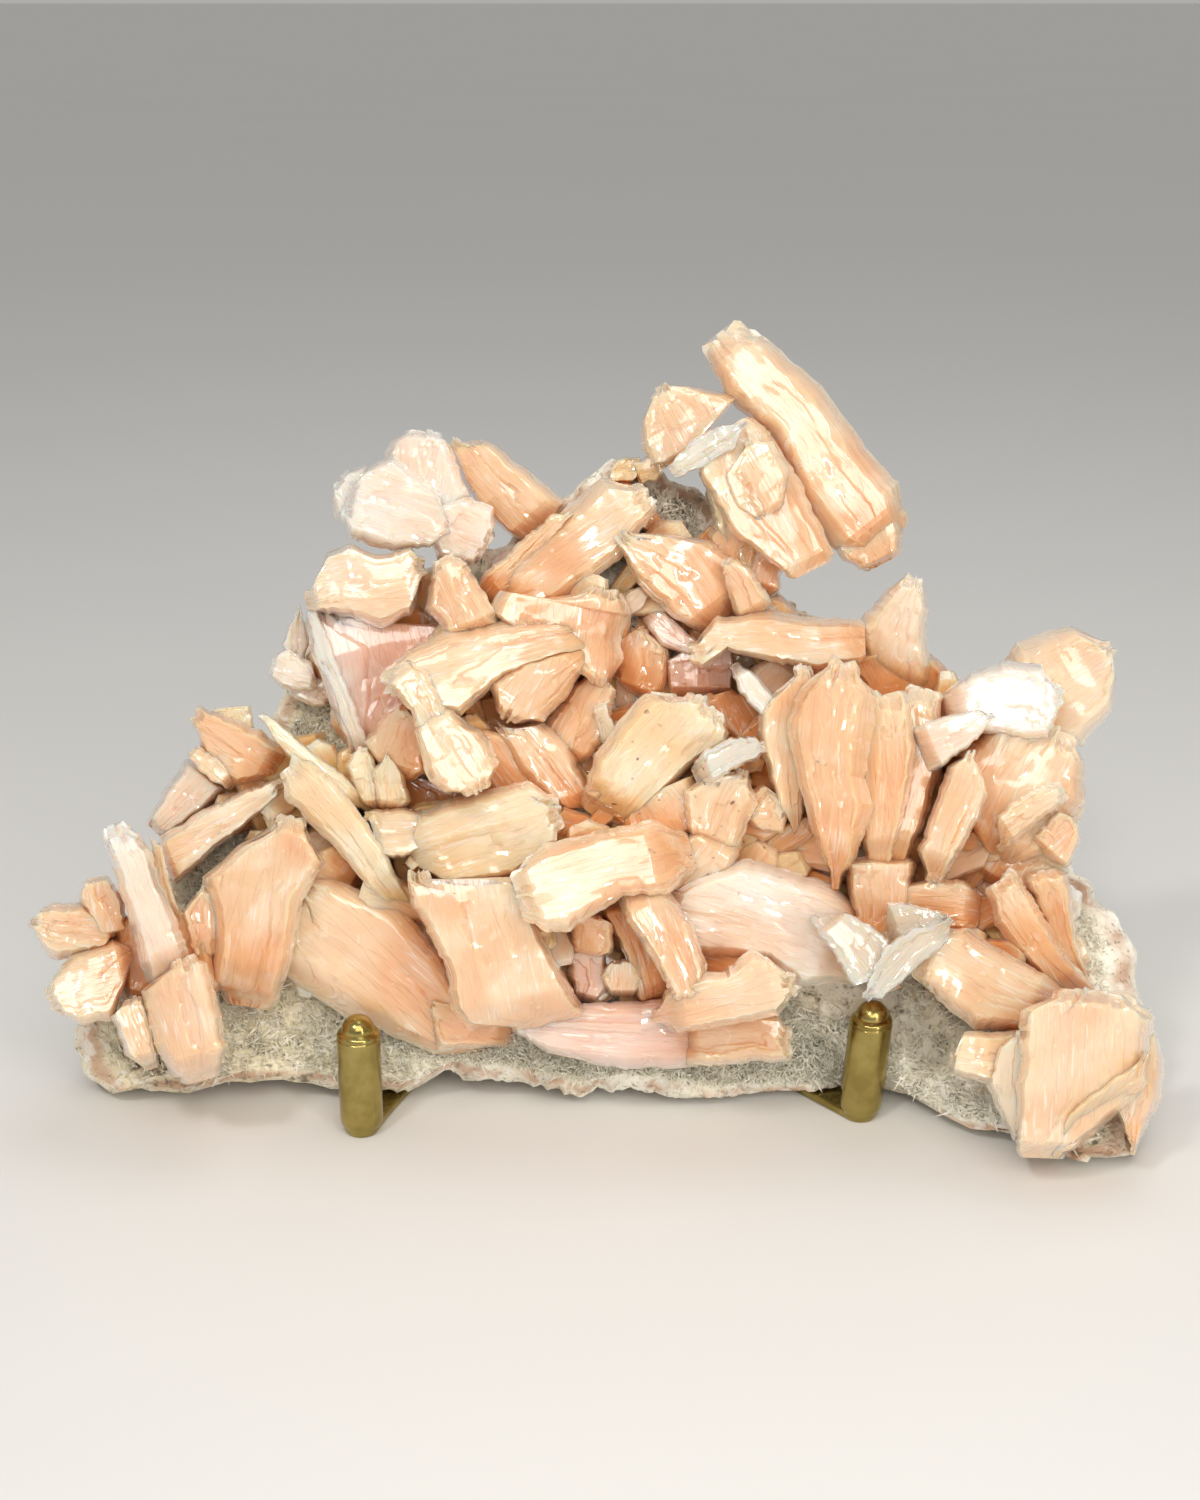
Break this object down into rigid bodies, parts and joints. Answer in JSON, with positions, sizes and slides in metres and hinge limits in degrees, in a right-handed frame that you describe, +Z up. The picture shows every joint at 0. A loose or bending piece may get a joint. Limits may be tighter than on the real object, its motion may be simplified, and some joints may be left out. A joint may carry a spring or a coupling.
{
  "type": "stilbite cluster on a stand",
  "caption": "Cluster of pale peach stilbite blades grown on a leaning slab of matrix, resting on a small brass display stand.",
  "frame": {"origin": "on the table, under the middle of the object's bounding box", "axes": "+X to the right along the slab as seen from the front, +Y towards the back of the slab, +Z up; the crystals face -Y"},
  "size_m": [0.1572, 0.0868, 0.1079],
  "materials": {
    "stilbite": "pearly translucent crystal, finely striated along the blades",
    "matrix_rock": "rough druse and broken rock",
    "brass": "polished, lightly scratched"
  },
  "bodies": {
    "root": {"stilbite_crystals": "stilbite", "back_blade_spray": "stilbite", "corner_heel_spray": "stilbite", "corner_wing_spray": "stilbite", "lath_front_spray": "stilbite", "ledge_blade_spray": "stilbite", "ridge_crumb_left_spray": "stilbite", "rosette_heart_spray": "stilbite", "silver_blade_mid_spray": "stilbite", "steeple_foot_spray": "stilbite", "matrix": "matrix_rock", "brass_stand": "brass"}
  },
  "joints": []
}
